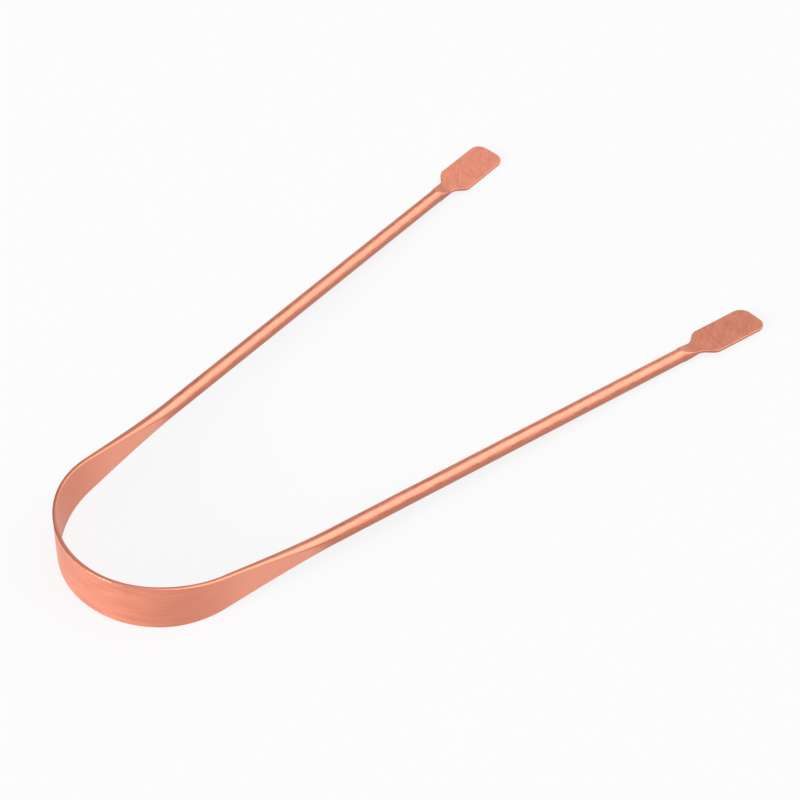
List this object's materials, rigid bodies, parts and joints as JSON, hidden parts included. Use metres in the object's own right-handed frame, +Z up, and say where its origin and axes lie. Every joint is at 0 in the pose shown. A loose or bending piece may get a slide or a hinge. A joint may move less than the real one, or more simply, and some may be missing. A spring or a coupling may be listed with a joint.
{
  "type": "tongue scraper",
  "caption": "U-shaped tongue scraper bent from copper rod: a thin rolled blade in the bow, round sprung arms and flat thumb tabs.",
  "frame": {"origin": "under the middle of the part's box, level with the lower edge of the blade", "axes": "+Y from the bow to the thumb tabs, +Z up across the blade's width, +X to the right arm"},
  "size_m": [0.0814, 0.1452, 0.0102],
  "materials": {
    "blade_copper": "bare copper, rolled and brushed lengthwise, satin",
    "rod_copper": "bare copper, drawn rod, polished satin",
    "tab_copper": "bare copper, pressed flat, satin with fine scratches"
  },
  "bodies": {
    "bow": {"scraping_blade": "blade_copper", "right_bow_spring": "blade_copper", "left_bow_spring": "blade_copper"},
    "right_arm": {"right_flare": "blade_copper", "right_arm_rod": "rod_copper", "right_neck": "tab_copper", "right_thumb_tab": "tab_copper"},
    "left_arm": {"left_flare": "blade_copper", "left_arm_rod": "rod_copper", "left_neck": "tab_copper", "left_thumb_tab": "tab_copper"}
  },
  "joints": [
    {"name": "right_arm_flex", "type": "hinge", "parent": "bow", "child": "right_arm", "pos_m": [0.0136, -0.05925, 0.0051], "axis": [0, 0, 1], "range_deg": [-6, 8], "stiffness_Nm_per_rad": 0.96, "deforming": ["right_bow_spring"]},
    {"name": "left_arm_flex", "type": "hinge", "parent": "bow", "child": "left_arm", "pos_m": [-0.0136, -0.05925, 0.0051], "axis": [0, 0, 1], "range_deg": [-8, 6], "stiffness_Nm_per_rad": 0.96, "deforming": ["left_bow_spring"]}
  ],
  "couplings": [
    {"joint": "left_arm_flex", "follows": "right_arm_flex", "ratio": -1}
  ]
}
